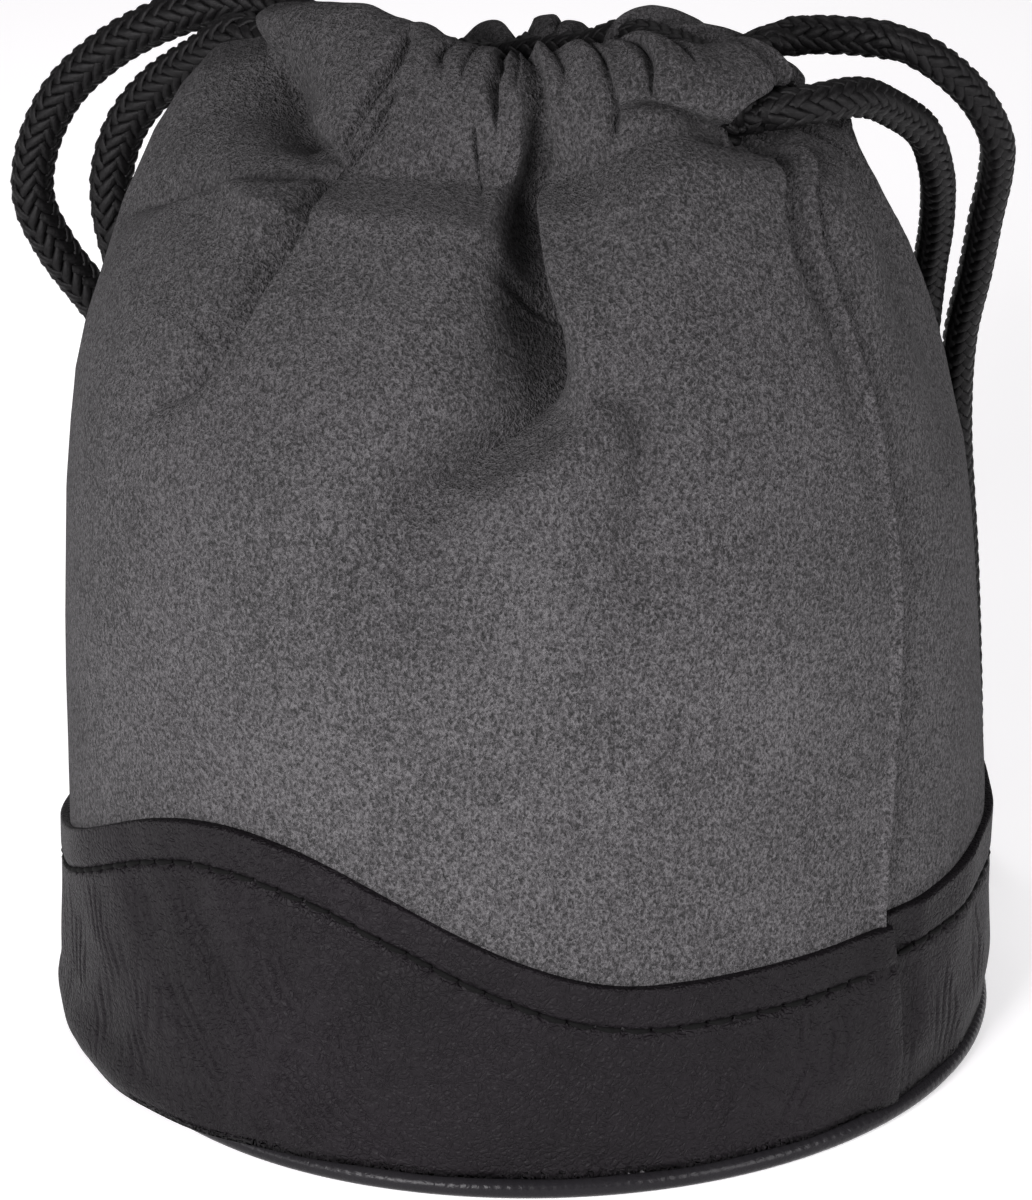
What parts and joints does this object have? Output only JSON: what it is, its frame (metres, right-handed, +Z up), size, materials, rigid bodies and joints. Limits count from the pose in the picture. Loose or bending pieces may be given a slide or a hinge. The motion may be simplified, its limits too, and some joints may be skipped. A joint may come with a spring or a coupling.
{
  "type": "lens pouch",
  "caption": "Drawstring lens pouch: round suede bag with a gathered neck, a leather band with a wavy edge round its foot and braided cords.",
  "frame": {"origin": "middle of the base's underside", "axes": "+Z up; -Y is the front, where the band rises to its front hump; the cords leave at -X and +X"},
  "size_m": [0.1163, 0.1308, 0.1097],
  "materials": {
    "suede": "short napped grey suede",
    "band_leather": "fine grained black leather, low sheen",
    "welt_leather": "glossy black bound edge",
    "base_leather": "fine grained black leather",
    "thread": "twisted black sewing thread",
    "cord": "black braided cord",
    "lining": "dark grey woven lining",
    "foam": "grey felted padding",
    "board": "grey-brown stiffening board"
  },
  "bodies": {
    "pouch": {"upper_front_panel": "suede", "upper_back_panel": "suede", "front_hem_strip": "suede", "back_hem_strip": "suede", "front_hem_thread": "thread", "back_hem_thread": "thread", "left_seam_thread": "thread", "right_seam_thread": "thread", "front_band": "band_leather", "front_band_thread": "thread", "back_band": "band_leather", "back_band_thread": "thread", "wall_padding": "foam", "wall_lining": "lining", "base_welt": "welt_leather", "base_cover": "base_leather", "base_board": "board", "base_foam": "foam", "base_lining": "lining", "left_drawcord": "cord", "right_drawcord": "cord"},
    "left_cord": {"left_cord_back_tail": "cord", "left_cord_front_tail": "cord", "left_knot": "cord"},
    "right_cord": {"right_cord_back_tail": "cord", "right_cord_front_tail": "cord", "right_knot": "cord"}
  },
  "joints": [
    {"name": "left_cord_pull", "type": "slide", "parent": "pouch", "child": "left_cord", "axis": [-1, 0, 0], "range_m": [0, 0.025]},
    {"name": "right_cord_pull", "type": "slide", "parent": "pouch", "child": "right_cord", "axis": [1, 0, 0], "range_m": [0, 0.025]}
  ]
}
